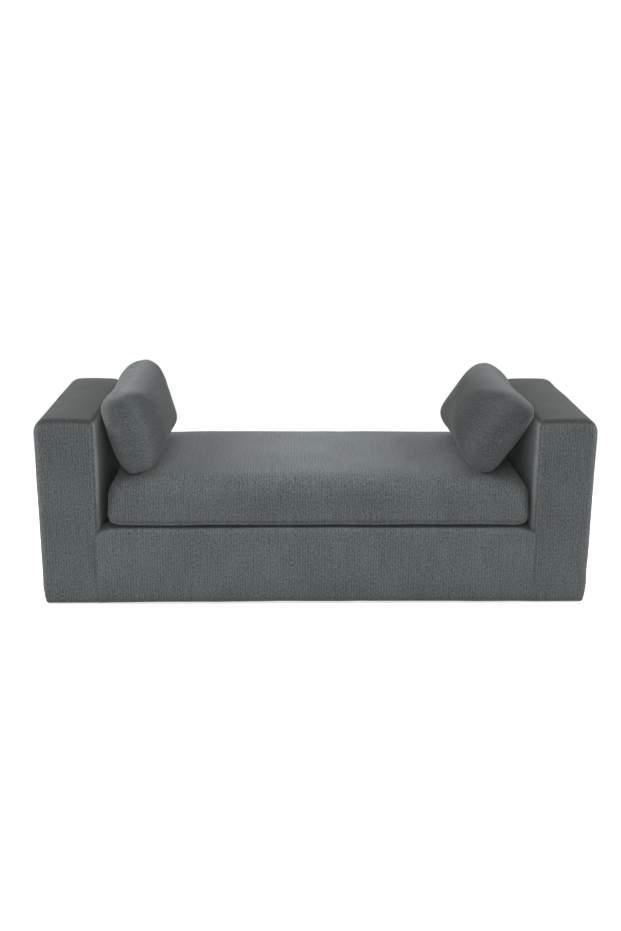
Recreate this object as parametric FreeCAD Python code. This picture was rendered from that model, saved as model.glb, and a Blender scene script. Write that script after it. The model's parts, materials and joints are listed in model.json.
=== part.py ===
"""Backless divan: a long upholstered bench with two block arms, a loose seat cushion and two loose pillows.

Millimetres. +X runs along the seat to the right arm, +Y to the back, +Z up. The origin is on the floor,
under the middle of the divan. Each piece is written to parts/NAME.step.
"""
import FreeCAD
import Part
import math
import os

Vec = FreeCAD.Vector

# Overall sizes
overall_length = 1930.0
overall_depth = 710.0
arm_height = 670.0
arm_width = 208.0
deck_height = 284.0

# Covers, padding and boards
cover_thickness = 2.0
cover_turn_under = 26.0
arm_side_foam = 15.0
arm_top_foam = 25.0
base_side_foam = 12.0
ply_thickness = 18.0
inner_panel_thickness = 9.0
outer_panel_thickness = 5.0

# Underside
glide_height = 9.0
glide_size = 34.0
glide_bevel = 2.0
glide_inset = 28.0
dust_cover_thickness = 1.0

# Roundings of the arms and the base
arm_outer_top_radius = 46.0
arm_inner_top_radius = 30.0
arm_face_edge_radius = 24.0
foam_bevel_share = 0.67
arm_foot_tuck = 10.0
arm_foot_height = 90.0
deck_edge_radius = 26.0
deck_end_drop = 16.0
deck_end_run = 70.0

# Seat box
rail_top_gap = 24.0
stretcher_offset = 252.0
stretcher_drop = 45.0
corner_block_size = 60.0
corner_block_height = 190.0
arm_post_size = 40.0
arm_post_offset = 215.0
bottom_opening_margin = 15.0
bottom_opening_end = 60.0

# Webbing and deck padding
webbing_thickness = 1.6
webbing_gap = 0.3
webbing_width = 70.0
webbing_margin = 98.0
cross_webbing_count = 9
long_webbing_count = 3
webbing_ramp = 25.0
felt_thickness = 6.0
deck_border_width = 95.0

# Bolts that hold each arm to the seat box
bolt_radius = 4.0
bolt_hole_radius = 4.5
bolt_height = 135.0
bolt_head_width = 13.0
bolt_head_height = 5.3
bolt_end = 8.0
bolt_end_room = 4.0
plate_nut_size = 26.0
plate_nut_thickness = 5.0

# Loose seat cushion
cushion_side_gap = 4.0
cushion_setback = 8.0
cushion_bottom_gap = 0.6
cushion_edge_thickness = 158.0
cushion_crown = 24.0
cushion_end_crown = 30.0
cushion_front_radius = 60.0
cushion_end_radius = 48.0
cushion_bottom_radius = 18.0
cushion_corner_radius = 44.0
cushion_front_pull = 6.0
cushion_end_pull = 5.0
cushion_side_trim = 1.0
fibre_wrap_thickness = 12.0
cushion_core_ease = 14.0

# Zips and their sliders
seat_zip_end_margin = 163.0
pillow_zip_length = 150.0
zip_height_above_bottom = 52.0
zip_slot_width = 8.0
zip_tape_width = 26.0
zip_tape_thickness = 0.8
zip_neck_width = 1.6
zip_coil_width = 4.0
zip_coil_height = 1.6
zip_coil_gap = 1.5
zip_overlap = 0.5
slider_length = 14.0
slider_inset = 6.0
slider_plate = 0.9
slider_lip = 0.9
slider_clearance = 0.25
slider_lug_height = 1.6

# Loose pillows
pillow_length = 566.0
pillow_height = 332.0
pillow_thickness = 220.0
pillow_seam_width = 4.0
pillow_fullness = 0.44
pillow_corner_power = 7.0
pillow_side_pull = 9.0
pillow_end_pull = 9.0
pillow_crown_share = 0.12
pillow_sides = 36
pillow_levels = 6
pillow_inner_sides = 28
pillow_inner_levels = 4
pillow_tape_depth = 8.0
pillow_gap = 1.0
seating_rounds = 4
seating_samples = 5

# How each pillow rests: its middle's place behind the seat's middle, then its turn, lean and roll in degrees
left_pillow_setback = -46.0
left_pillow_angles = (-4.5, -15.5, 2.4)
right_pillow_setback = -48.0
right_pillow_angles = (7.6, 31.0, 2.8)

# Sizes that follow from those above
half_length = overall_length / 2
half_depth = overall_depth / 2
frame_bottom = glide_height + dust_cover_thickness
cover_bottom = frame_bottom - cover_thickness
arm_inner_x = half_length - arm_width
arm_padding = cover_thickness + arm_side_foam
arm_frame_in = arm_inner_x + arm_padding
arm_frame_out = half_length - arm_padding
arm_frame_half_depth = half_depth - arm_padding
arm_frame_top = arm_height - cover_thickness - arm_top_foam
deck_end_height = deck_height - deck_end_drop
rail_top = deck_height - rail_top_gap
base_frame_half_depth = half_depth - cover_thickness - base_side_foam
webbing_top = rail_top + 2 * webbing_thickness + webbing_gap
felt_top = webbing_top + felt_thickness
cushion_half_length = arm_inner_x - cushion_side_gap
cushion_half_depth = half_depth - cushion_setback
seat_zip_length = 2 * (cushion_half_length - seat_zip_end_margin)
cushion_bottom = deck_height + cushion_bottom_gap
cushion_shoulder = cushion_bottom + cushion_edge_thickness


def box(x0, x1, y0, y1, z0, z1):
    """A box from its two corners."""
    return Part.makeBox(x1 - x0, y1 - y0, z1 - z0, Vec(x0, y0, z0))


def mirrored(shape):
    """The same piece on the other side of the divan."""
    return shape.mirror(Vec(0, 0, 0), Vec(1, 0, 0))


def group(shapes):
    """Separate solids that share one file."""
    return Part.makeCompound(shapes)


def arc(start, middle, end):
    return Part.Arc(start, middle, end).toShape()


def line(start, end):
    return Part.LineSegment(start, end).toShape()


def corner(centre, radius, from_degrees, to_degrees, place):
    """An arc of a corner. place turns the two section coordinates into a point."""
    points = []
    for degrees in (from_degrees, (from_degrees + to_degrees) / 2, to_degrees):
        angle = math.radians(degrees)
        points.append(place(centre[0] + radius * math.cos(angle), centre[1] + radius * math.sin(angle)))
    return arc(*points)


def prism(edges, direction):
    """The closed outline of these edges, pushed along a direction."""
    return Part.Face(Part.Wire(edges)).extrude(direction)


def arm_prism(inset):
    """The right arm's outline pushed from front to back, drawn in by inset, and its front and back edges."""
    def place(x, z):
        return Vec(x, -half_depth + inset, z)

    inner = arm_inner_x + inset
    outer = half_length - inset
    top = arm_height - inset
    outer_radius = arm_outer_top_radius - inset
    inner_radius = arm_inner_top_radius - inset
    foot_top = cover_bottom + arm_foot_height
    foot_middle = (foot_top + cover_bottom) / 2
    foot = outer - arm_foot_tuck
    edges = [
        line(place(inner, cover_bottom), place(inner, top - inner_radius)),
        corner((inner + inner_radius, top - inner_radius), inner_radius, 180, 90, place),
        line(place(inner + inner_radius, top), place(outer - outer_radius, top)),
        corner((outer - outer_radius, top - outer_radius), outer_radius, 90, 0, place),
        line(place(outer, top - outer_radius), place(outer, foot_top)),
        arc(place(outer, foot_top), place(outer - arm_foot_tuck / 4, foot_middle), place(foot, cover_bottom)),
        line(place(foot, cover_bottom), place(inner, cover_bottom)),
    ]
    block = prism(edges, Vec(0, overall_depth - 2 * inset, 0))
    rims = []
    for edge in block.Edges:
        if edge.BoundBox.YLength < cover_thickness and edge.BoundBox.ZMax > cover_bottom + cover_thickness:
            rims.append(edge)
    return block, rims


def without_seat_end(block, inset):
    """An arm form without the strip where the seat box meets the arm's frame."""
    return block.cut(box(arm_inner_x, arm_frame_in, -half_depth, half_depth, 0, deck_end_height + inset))


def arm_padded_form():
    """The form of the foam round the right arm, with bevelled front and back edges."""
    block, rims = arm_prism(cover_thickness)
    bevelled = block.makeChamfer(foam_bevel_share * arm_face_edge_radius, rims)
    return without_seat_end(bevelled, cover_thickness).common(above(frame_bottom))


def arm_cover():
    """The sewn cover of the right arm. Its fibre backing fills the foam's bevels, so its edges are round.

    It is open towards the seat box and turned in under the arm.
    """
    block, rims = arm_prism(0)
    rounded = without_seat_end(block.makeFillet(arm_face_edge_radius, rims), 0)
    opening = box(
        arm_frame_in, half_length - cover_turn_under - arm_foot_tuck,
        -half_depth + cover_turn_under, half_depth - cover_turn_under, 0, frame_bottom)
    return rounded.cut(arm_padded_form()).cut(opening)


def above(height):
    return box(-overall_length, overall_length, -overall_depth, overall_depth, height, 2 * arm_height)


def arm_foam():
    """The foam glued round the right arm's frame."""
    frame = box(
        arm_frame_in, arm_frame_out, -arm_frame_half_depth, arm_frame_half_depth, 0, arm_frame_top)
    return arm_padded_form().cut(frame)


def rod(radius, x, y, length):
    """A round bar along +X at the bolts' height."""
    return Part.makeCylinder(radius, length, Vec(x, y, bolt_height), Vec(1, 0, 0))


def bolt_places():
    """How far in front of and behind the middle the bolts of an arm stand."""
    return (-arm_post_offset, arm_post_offset)


def drilled(shape, x, length):
    """shape with a bolt hole along X at each bolt's place."""
    for y in bolt_places():
        shape = shape.cut(rod(bolt_hole_radius, x, y, length))
    return shape


def arm_bolt(y):
    """A hexagon bolt that holds an arm to the seat box, with its head inside the end rail."""
    head_end = arm_frame_in - ply_thickness
    head_start = head_end - bolt_head_height
    across_corners = bolt_head_width / math.sqrt(3)
    points = []
    for side in range(6):
        angle = math.radians(60 * side)
        points.append(Vec(
            head_start, y + across_corners * math.cos(angle), bolt_height + across_corners * math.sin(angle)))
    head = prism([line(points[i - 1], points[i]) for i in range(6)], Vec(bolt_head_height, 0, 0))
    grip = ply_thickness + inner_panel_thickness + plate_nut_thickness + bolt_end
    return head.fuse(rod(bolt_radius, head_end, y, grip)).removeSplitter()


def plate_nut(y):
    """A square plate nut behind an arm's inner panel, let into the post."""
    x = arm_frame_in + inner_panel_thickness
    half = plate_nut_size / 2
    plate = box(x, x + plate_nut_thickness, y - half, y + half, bolt_height - half, bolt_height + half)
    return plate.cut(rod(bolt_radius, x, y, plate_nut_thickness))


def arm_post(y):
    """An upright post behind an arm's inner panel, with a pocket for the plate nut and the bolt's end."""
    x = arm_frame_in + inner_panel_thickness
    half = arm_post_size / 2
    pocket = plate_nut_size / 2
    post = box(
        x, x + arm_post_size, y - half, y + half,
        frame_bottom + ply_thickness, arm_frame_top - ply_thickness)
    post = post.cut(box(
        x, x + plate_nut_thickness, y - pocket, y + pocket, bolt_height - pocket, bolt_height + pocket))
    return post.cut(rod(bolt_hole_radius, x, y, plate_nut_thickness + bolt_end + bolt_end_room))


def arm_pieces():
    """The right arm's frame, padding, cover and fixings, by name."""
    board_in = arm_frame_in + inner_panel_thickness
    board_out = arm_frame_out - outer_panel_thickness
    deep = arm_frame_half_depth
    board_top = arm_frame_top - ply_thickness
    floor_top = frame_bottom + ply_thickness
    inner_panel = box(arm_frame_in, board_in, -deep, deep, frame_bottom, arm_frame_top)
    bottom = box(board_in, board_out, -deep + ply_thickness, deep - ply_thickness, frame_bottom, floor_top)
    opening_in = board_in + arm_post_size + bottom_opening_margin
    opening_half_depth = deep - ply_thickness - bottom_opening_end
    bottom = bottom.cut(box(
        opening_in, board_out - bottom_opening_margin, -opening_half_depth, opening_half_depth, 0, floor_top))
    return {
        "arm_front_board": box(board_in, board_out, -deep, -deep + ply_thickness, frame_bottom, board_top),
        "arm_back_board": box(board_in, board_out, deep - ply_thickness, deep, frame_bottom, board_top),
        "arm_top_board": box(board_in, board_out, -deep, deep, board_top, arm_frame_top),
        "arm_bottom_board": bottom,
        "arm_posts": group([arm_post(y) for y in bolt_places()]),
        "arm_inner_panel": drilled(inner_panel, arm_frame_in, inner_panel_thickness),
        "arm_outer_panel": box(board_out, arm_frame_out, -deep, deep, frame_bottom, arm_frame_top),
        "arm_foam": arm_foam(),
        "arm_cover": arm_cover(),
        "arm_bolts": group([arm_bolt(y) for y in bolt_places()]),
        "arm_plate_nuts": group([plate_nut(y) for y in bolt_places()]),
    }


def base_block(inset):
    """The padded seat box between the arms, drawn in by inset at the front, back and top."""
    radius = deck_edge_radius - inset
    front = half_depth - inset
    top = deck_height - inset
    reach = arm_frame_in

    def in_depth(y, z):
        return Vec(-reach, y, z)

    def in_length(x, z):
        return Vec(x, -half_depth, z)

    depth_outline = [
        line(in_depth(-front, cover_bottom), in_depth(-front, top - radius)),
        corner((-front + radius, top - radius), radius, 180, 90, in_depth),
        line(in_depth(-front + radius, top), in_depth(front - radius, top)),
        corner((front - radius, top - radius), radius, 90, 0, in_depth),
        line(in_depth(front, top - radius), in_depth(front, cover_bottom)),
        line(in_depth(front, cover_bottom), in_depth(-front, cover_bottom)),
    ]
    run_start = arm_inner_x - deck_end_run
    run_middle = arm_inner_x - deck_end_run / 2
    low = top - deck_end_drop
    sag = deck_end_drop / 4
    length_outline = [
        line(in_length(-reach, 0), in_length(-reach, low)),
        line(in_length(-reach, low), in_length(-arm_inner_x, low)),
        arc(in_length(-arm_inner_x, low), in_length(-run_middle, top - sag), in_length(-run_start, top)),
        line(in_length(-run_start, top), in_length(run_start, top)),
        arc(in_length(run_start, top), in_length(run_middle, top - sag), in_length(arm_inner_x, low)),
        line(in_length(arm_inner_x, low), in_length(reach, low)),
        line(in_length(reach, low), in_length(reach, 0)),
        line(in_length(reach, 0), in_length(-reach, 0)),
    ]
    across = prism(depth_outline, Vec(2 * reach, 0, 0))
    along = prism(length_outline, Vec(0, overall_depth, 0))
    return across.common(along)


def base_covers():
    """The face fabric of the seat box and the plain cloth of its deck, by name."""
    inside = base_block(cover_thickness).common(above(frame_bottom))
    hem = half_depth - cover_turn_under
    opening = box(-arm_frame_in, arm_frame_in, -hem, hem, 0, frame_bottom)
    shell = base_block(0).cut(inside).cut(opening)
    deck_front = half_depth - deck_border_width
    deck_zone = box(-half_length, half_length, -deck_front, deck_front, frame_bottom, arm_height)
    front_zone = box(-half_length, half_length, -half_depth, -deck_front, 0, arm_height)
    back_zone = box(-half_length, half_length, deck_front, half_depth, 0, arm_height)
    return {
        "base_cover_front": shell.common(front_zone),
        "base_cover_back": shell.common(back_zone),
        "deck_cloth": shell.common(deck_zone),
    }


def base_padding():
    """The foam wrap of the seat box: front and back faces with their edge rolls, and the deck pad."""
    whole = base_block(cover_thickness).common(above(frame_bottom))
    frame = box(-half_length, half_length, -base_frame_half_depth, base_frame_half_depth, 0, webbing_top)
    felt_half = base_frame_half_depth - ply_thickness
    felt_end = arm_inner_x - deck_end_run
    felt = box(-felt_end, felt_end, -felt_half, felt_half, 0, felt_top)
    padding = whole.cut(frame).cut(felt)
    border = half_depth - deck_border_width
    middle = box(-half_length, half_length, -border, border, 0, arm_height)
    front = box(-half_length, half_length, -half_depth, -border, 0, arm_height)
    back = box(-half_length, half_length, border, half_depth, 0, arm_height)
    return {
        "base_foam_front": padding.common(front),
        "base_foam_back": padding.common(back),
        "deck_pad": padding.common(middle),
    }


def strap(half_span, crossings, first_high, width, place):
    """One woven strap from rail to rail. It passes over every other strap and under the rest."""
    low = rail_top
    high = rail_top + webbing_thickness + webbing_gap
    stations = [-half_span] + crossings + [half_span]
    levels = [low] + [high if (i % 2 == 0) == first_high else low for i in range(len(crossings))] + [low]
    under = [(-half_span, low)]
    for i in range(len(stations) - 1):
        if levels[i] != levels[i + 1]:
            middle = (stations[i] + stations[i + 1]) / 2
            under.append((middle - webbing_ramp / 2, levels[i]))
            under.append((middle + webbing_ramp / 2, levels[i + 1]))
    under.append((half_span, low))
    over = [(along, z + webbing_thickness) for along, z in reversed(under)]
    points = [place(along, z) for along, z in under + over]
    return prism([line(points[i - 1], points[i]) for i in range(len(points))], width)


def spread(count, half_span):
    """count places, evenly spread between -half_span and half_span."""
    return [half_span * (2 * i / (count - 1) - 1) for i in range(count)]


def webbing():
    """Elastic straps over the seat box, front to back and end to end, woven over and under each other."""
    cross_places = spread(cross_webbing_count, arm_frame_in - ply_thickness - webbing_width)
    long_places = spread(long_webbing_count, base_frame_half_depth - ply_thickness - webbing_margin)
    cross = []
    for i, x in enumerate(cross_places):
        def in_depth(y, z, start=x - webbing_width / 2):
            return Vec(start, y, z)
        width = Vec(webbing_width, 0, 0)
        cross.append(strap(base_frame_half_depth, long_places, i % 2 == 1, width, in_depth))
    lengthwise = []
    for j, y in enumerate(long_places):
        def in_length(x, z, start=y - webbing_width / 2):
            return Vec(x, start, z)
        width = Vec(0, webbing_width, 0)
        lengthwise.append(strap(arm_frame_in, cross_places, j % 2 == 0, width, in_length))
    return {"webbing_cross": group(cross), "webbing_lengthwise": group(lengthwise)}


def seat_box():
    """The timber seat box, by name."""
    deep = base_frame_half_depth
    rail_end = arm_frame_in - ply_thickness
    inner_deep = deep - ply_thickness
    front_rail = box(-rail_end, rail_end, -deep, -inner_deep, frame_bottom, rail_top)
    back_rail = box(-rail_end, rail_end, inner_deep, deep, frame_bottom, rail_top)
    end_rail = box(rail_end, arm_frame_in, -deep, deep, frame_bottom, rail_top)
    end_rail = drilled(end_rail, rail_end, ply_thickness)
    stretchers = []
    for x in (-stretcher_offset, stretcher_offset):
        stretchers.append(box(
            x - ply_thickness / 2, x + ply_thickness / 2, -inner_deep, inner_deep,
            frame_bottom, rail_top - stretcher_drop))
    blocks = []
    for sx in (-1, 1):
        for sy in (-1, 1):
            blocks.append(corner_block(sx, sy, rail_end, inner_deep))
    felt_end = arm_inner_x - deck_end_run
    return {
        "front_rail": front_rail,
        "back_rail": back_rail,
        "end_rail_right": end_rail,
        "end_rail_left": mirrored(end_rail),
        "stretchers": group(stretchers),
        "corner_blocks": group(blocks),
        "felt_insulator": box(-felt_end, felt_end, -inner_deep, inner_deep, webbing_top, felt_top),
    }


def corner_block(sx, sy, x, y):
    """A three-cornered glue block in a corner of the seat box."""
    z = frame_bottom
    points = [
        Vec(sx * x, sy * y, z),
        Vec(sx * (x - corner_block_size), sy * y, z),
        Vec(sx * x, sy * (y - corner_block_size), z),
    ]
    return prism([line(points[i - 1], points[i]) for i in range(3)], Vec(0, 0, corner_block_height))


def arm_glide_places():
    """The glides under the right arm."""
    x = (arm_frame_in + arm_frame_out) / 2
    y = arm_frame_half_depth - ply_thickness - glide_inset
    return [(x, -y), (x, y)]


def stretcher_glide_places():
    """The glides under the ends of the two stretchers."""
    y = base_frame_half_depth - ply_thickness - glide_inset
    return [(x, side * y) for x in (-stretcher_offset, stretcher_offset) for side in (-1, 1)]


def glide_places():
    """Every glide under the divan."""
    right = arm_glide_places()
    return right + [(-x, y) for x, y in right] + stretcher_glide_places()


def glide(x, y):
    """A square plastic glide between the floor and the dust cover, with bevelled edges at the floor."""
    half = glide_size / 2
    block = box(x - half, x + half, y - half, y + half, 0, glide_height)
    return block.makeChamfer(glide_bevel, [edge for edge in block.Edges if edge.BoundBox.ZMax < glide_bevel])


def underside():
    """The dust cover and the glides, by name."""
    half_x = half_length - arm_foot_tuck - cover_turn_under
    half_y = half_depth - cover_turn_under
    return {
        "dust_cover": box(-half_x, half_x, -half_y, half_y, glide_height, frame_bottom),
        "glides": group([glide(x, y) for x, y in glide_places()]),
    }


def crown_radius(half_span, crown, shoulder_radius):
    """The radius of a crown's arc that runs on smoothly into its rounded shoulders."""
    reach = half_span - shoulder_radius
    rise = shoulder_radius + crown
    return (reach ** 2 + rise ** 2 - shoulder_radius ** 2) / (2 * crown)


def crowned_outline(half_span, bottom, shoulder, crown, shoulder_radius, bottom_radius, place):
    """A cushion seen along one of its sides: flat below, round at the shoulders and crowned on top."""
    radius = crown_radius(half_span, crown, shoulder_radius)
    reach = half_span - shoulder_radius
    centre = shoulder + crown - radius
    high = shoulder - shoulder_radius
    low = bottom + bottom_radius
    turn = math.degrees(math.atan2(high - centre, reach))
    return [
        line(place(bottom_radius - half_span, bottom), place(half_span - bottom_radius, bottom)),
        corner((half_span - bottom_radius, low), bottom_radius, 270, 360, place),
        line(place(half_span, low), place(half_span, high)),
        corner((reach, high), shoulder_radius, 0, turn, place),
        corner((0, centre), radius, turn, 180 - turn, place),
        corner((-reach, high), shoulder_radius, 180 - turn, 180, place),
        line(place(-half_span, high), place(-half_span, low)),
        corner((bottom_radius - half_span, low), bottom_radius, 180, 270, place),
    ]


def cushion_plan(half_long, half_deep, radius, z):
    """The cushion from above: rounded corners, a straight back for the zip, and the other sides drawn in."""
    def place(x, y):
        return Vec(x, y, z)

    x = half_long - radius
    y = half_deep - radius
    return [
        line(place(x, half_deep), place(-x, half_deep)),
        corner((-x, y), radius, 90, 180, place),
        arc(place(-half_long, y), place(cushion_end_pull - half_long, 0), place(-half_long, -y)),
        corner((-x, -y), radius, 180, 270, place),
        arc(place(-x, -half_deep), place(0, cushion_front_pull - half_deep), place(x, -half_deep)),
        corner((x, -y), radius, 270, 360, place),
        arc(place(half_long, -y), place(half_long - cushion_end_pull, 0), place(half_long, y)),
        corner((x, y), radius, 0, 90, place),
    ]


def cushion_form(inset):
    """The seat cushion's form, drawn in by inset: its two side outlines and its plan, crossed.

    The plan trims both outlines all round, and the lengthwise crown is the higher one, so that it only lowers
    the ends.
    """
    half_long = cushion_half_length - inset
    half_deep = cushion_half_depth - inset
    span_long = half_long + cushion_side_trim
    span_deep = half_deep + cushion_side_trim
    bottom = cushion_bottom + inset
    shoulder = cushion_shoulder - inset
    low_radius = cushion_bottom_radius - inset

    def in_depth(y, z):
        return Vec(-span_long, y, z)

    def in_length(x, z):
        return Vec(x, -span_deep, z)

    across = prism(crowned_outline(
        span_deep, bottom, shoulder, cushion_crown, cushion_front_radius - inset, low_radius, in_depth),
        Vec(2 * span_long, 0, 0))
    along = prism(crowned_outline(
        span_long, bottom, shoulder, cushion_end_crown, cushion_end_radius - inset, low_radius, in_length),
        Vec(0, 2 * span_deep, 0))
    plan = cushion_plan(half_long, half_deep, cushion_corner_radius - inset, bottom)
    return across.common(along).common(prism(plan, Vec(0, 0, arm_height)))


def pillow_ring(x, scale, inset, sides):
    """The pillow's outline at x, scaled: rounded corners with drawn-in sides between them."""
    half_long = pillow_length / 2 - inset
    half_high = pillow_height / 2 - inset
    points = []
    for i in range(sides):
        angle = 2 * math.pi * (i + 0.5) / sides
        cosine = math.cos(angle)
        sine = math.sin(angle)
        along = math.copysign(abs(cosine) ** (2 / pillow_corner_power), cosine)
        up = math.copysign(abs(sine) ** (2 / pillow_corner_power), sine)
        y = along * (half_long - pillow_end_pull * (1 - up ** 2))
        z = up * (half_high - pillow_side_pull * (1 - along ** 2))
        points.append(Vec(x, y * scale, z * scale))
    return points


def pillow_form(inset, sides, levels):
    """A pillow's form in its own frame: X through it, Y along it, Z up it.

    Flat faces join rings round its two cheeks. Each ring is the seam's outline, scaled, so every face between
    two rings is flat. A ring starts and ends at the flat middle of its back end, where the zip is.
    """
    seam = (pillow_seam_width - inset) / 2
    bulge = pillow_thickness / 2 - inset - seam
    cheek = []
    for level in range(levels + 1):
        height = math.sin(math.radians(90 * level / levels))
        scale = math.sqrt(1 - height ** (1 / pillow_fullness))
        cheek.append((seam + bulge * height, max(scale, pillow_crown_share)))
    rings = [pillow_ring(-x, scale, inset, sides) for x, scale in reversed(cheek)]
    rings += [pillow_ring(x, scale, inset, sides) for x, scale in cheek]
    faces = [Part.Face(Part.makePolygon(ring + ring[:1])) for ring in (rings[0], rings[-1])]
    for low, high in zip(rings, rings[1:]):
        for i in range(sides):
            faces.append(Part.Face(Part.makePolygon([low[i - 1], low[i], high[i], high[i - 1], low[i - 1]])))
    solid = Part.Solid(Part.Shell(faces))
    return solid if solid.Volume > 0 else solid.reversed()


def crown_height(offset, half_span, crown, shoulder_radius):
    """The height of one of the seat cushion's crowns at an offset from its middle line."""
    radius = crown_radius(half_span + cushion_side_trim, crown, shoulder_radius)
    return cushion_shoulder + crown - radius + math.sqrt(radius ** 2 - offset ** 2)


def cushion_top(x, y):
    """The height of the seat cushion's top away from its rounded shoulders."""
    return min(
        crown_height(x, cushion_half_length, cushion_end_crown, cushion_end_radius),
        crown_height(y, cushion_half_depth, cushion_crown, cushion_front_radius))


def arm_face(z):
    """How far the arm's inner face stands from the middle of the divan at height z."""
    above_straight = z - (arm_height - arm_inner_top_radius)
    if above_straight <= 0:
        return arm_inner_x
    if above_straight >= arm_inner_top_radius:
        return half_length
    return arm_inner_x + arm_inner_top_radius - math.sqrt(arm_inner_top_radius ** 2 - above_straight ** 2)


def pillow_place(side, setback, angles):
    """Where a pillow rests: turned as it leans, let down onto the seat and pushed against the arm."""
    rotation = FreeCAD.Rotation(*angles)
    outer = pillow_form(0, pillow_sides, pillow_levels)
    outline = []
    for edge in outer.Edges:
        outline += [rotation.multVec(point) for point in edge.discretize(Number=seating_samples)]
    x = side * (arm_inner_x - pillow_thickness)
    z = arm_height
    for _ in range(seating_rounds):
        z += pillow_gap - min(z + p.z - cushion_top(x + p.x, setback + p.y) for p in outline)
        x += side * (min(arm_face(z + p.z) - side * (x + p.x) for p in outline) - pillow_gap)
    return FreeCAD.Placement(Vec(x, setback, z), rotation)


def zip_parts(length, tape, outward):
    """A closed zip along X that faces +Y, and its slider parked at the -X end.

    tape is the shape under the slot, and outward is how far the slot's face stands from the tape.
    """
    start = -length / 2
    neck = box(start, -start, -zip_overlap, outward + zip_coil_gap, -zip_neck_width / 2, zip_neck_width / 2)
    head_low = outward + zip_coil_gap
    head_high = head_low + zip_coil_height
    head = box(start, -start, head_low, head_high, -zip_coil_width / 2, zip_coil_width / 2)
    inner = zip_coil_width / 2 + slider_clearance
    lip = zip_neck_width / 2 + slider_clearance
    low = head_low - slider_clearance
    high = head_high + slider_clearance
    outer = inner + slider_plate
    points = [
        (lip, low), (lip, low - slider_lip), (outer, low - slider_lip), (outer, high + slider_plate),
        (-outer, high + slider_plate), (-outer, low - slider_lip), (-lip, low - slider_lip), (-lip, low),
        (-inner, low), (-inner, high), (inner, high), (inner, low),
    ]
    corners = [Vec(start + slider_inset, y, z) for z, y in points]
    body = prism([line(corners[i - 1], corners[i]) for i in range(len(corners))], Vec(slider_length, 0, 0))
    lug_start = start + slider_inset + slider_length / 4
    lug_top = high + slider_plate + slider_lug_height
    lug_end = lug_start + slider_length / 2
    lug = box(lug_start, lug_end, high + slider_plate, lug_top, -slider_plate / 2, slider_plate / 2)
    return tape.fuse([neck, head]).removeSplitter(), body.fuse(lug).removeSplitter()


def seat_cushion():
    """The loose seat cushion, by name."""
    outer = cushion_form(0)
    inside = cushion_form(cover_thickness)
    wrap = cover_thickness + fibre_wrap_thickness
    half_long = cushion_half_length - wrap - cushion_core_ease
    half_deep = cushion_half_depth - wrap - cushion_core_ease
    core = box(
        -half_long, half_long, -half_deep, half_deep, cushion_bottom + wrap, cushion_shoulder - wrap)
    z = cushion_bottom + zip_height_above_bottom
    face = cushion_half_depth - cover_thickness
    to_back = FreeCAD.Placement(Vec(0, face, z), FreeCAD.Rotation())
    half_zip = seat_zip_length / 2
    half_tape = zip_tape_width / 2
    tape = box(-half_zip, half_zip, -zip_tape_thickness, 0, -half_tape, half_tape)
    zip_piece, slider = zip_parts(seat_zip_length, tape, cover_thickness)
    slot = box(-half_zip, half_zip, 0, 2 * cover_thickness, -zip_slot_width / 2, zip_slot_width / 2)
    tape, slot, zip_piece, slider = [placed(shape, to_back) for shape in (tape, slot, zip_piece, slider)]
    return {
        "seat_cushion_core": core,
        "seat_cushion_wrap": inside.cut(core).cut(tape),
        "seat_cushion_cover": outer.cut(inside).cut(slot),
        "seat_cushion_zip": zip_piece,
        "seat_cushion_zip_slider": slider,
    }


def placed(shape, placement):
    """A copy of shape, moved by placement."""
    moved = shape.copy()
    moved.Placement = placement.multiply(shape.Placement)
    return moved


def pillow(name, side, setback, angles):
    """One loose pillow, by name, with its zip in the seam at its back end."""
    place = pillow_place(side, setback, angles)
    outer = pillow_form(0, pillow_sides, pillow_levels)
    inside = pillow_form(cover_thickness, pillow_inner_sides, pillow_inner_levels)
    half_zip = pillow_zip_length / 2
    half_tape = zip_tape_width / 2
    end = pillow_ring(0, 1, 0, pillow_sides)[0].y
    tape = box(-half_zip, half_zip, -zip_tape_thickness, 0, -half_tape, half_tape)
    zip_piece, slider = zip_parts(pillow_zip_length, tape, pillow_tape_depth)
    upright_zip = FreeCAD.Placement(Vec(0, end - pillow_tape_depth, 0), FreeCAD.Rotation(Vec(0, 1, 0), -90))
    zip_piece = placed(zip_piece, upright_zip)
    half_slot = zip_neck_width / 2 + slider_clearance
    slot = box(-half_slot, half_slot, end - pillow_tape_depth, end, -half_zip, half_zip)
    pieces = {
        "insert": inside.cut(slot).cut(zip_piece),
        "cover": outer.cut(inside).cut(slot),
        "zip": zip_piece,
        "zip_slider": placed(slider, upright_zip),
    }
    return {f"{name}_{piece}": placed(shape, place) for piece, shape in pieces.items()}


def divan():
    """Every piece of the divan, by name."""
    pieces = {}
    shared = ("arm_bolts", "arm_plate_nuts")
    for name, shape in arm_pieces().items():
        if name in shared:
            pieces[name] = group([shape, mirrored(shape)])
        else:
            pieces[f"right_{name}"] = shape
            pieces[f"left_{name}"] = mirrored(shape)
    pieces.update(seat_box())
    pieces.update(webbing())
    pieces.update(base_padding())
    pieces.update(base_covers())
    pieces.update(underside())
    pieces.update(seat_cushion())
    pieces.update(pillow("left_pillow", -1, left_pillow_setback, left_pillow_angles))
    pieces.update(pillow("right_pillow", 1, right_pillow_setback, right_pillow_angles))
    return pieces


os.makedirs("parts", exist_ok=True)
for name, shape in divan().items():
    shape.exportStep(f"parts/{name}.step")
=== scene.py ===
"""Looks of a backless divan: padded arms and seat box, one bench cushion and two loose pillows.

All of it is covered in ribbed chenille. Metres throughout, in the row frame: +X along the seat,
+Y to the back, +Z up.
"""
import bpy
import json
import math
import numpy as np
from mathutils import Euler, Matrix, Vector, noise
from mathutils.bvhtree import BVHTree


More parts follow.
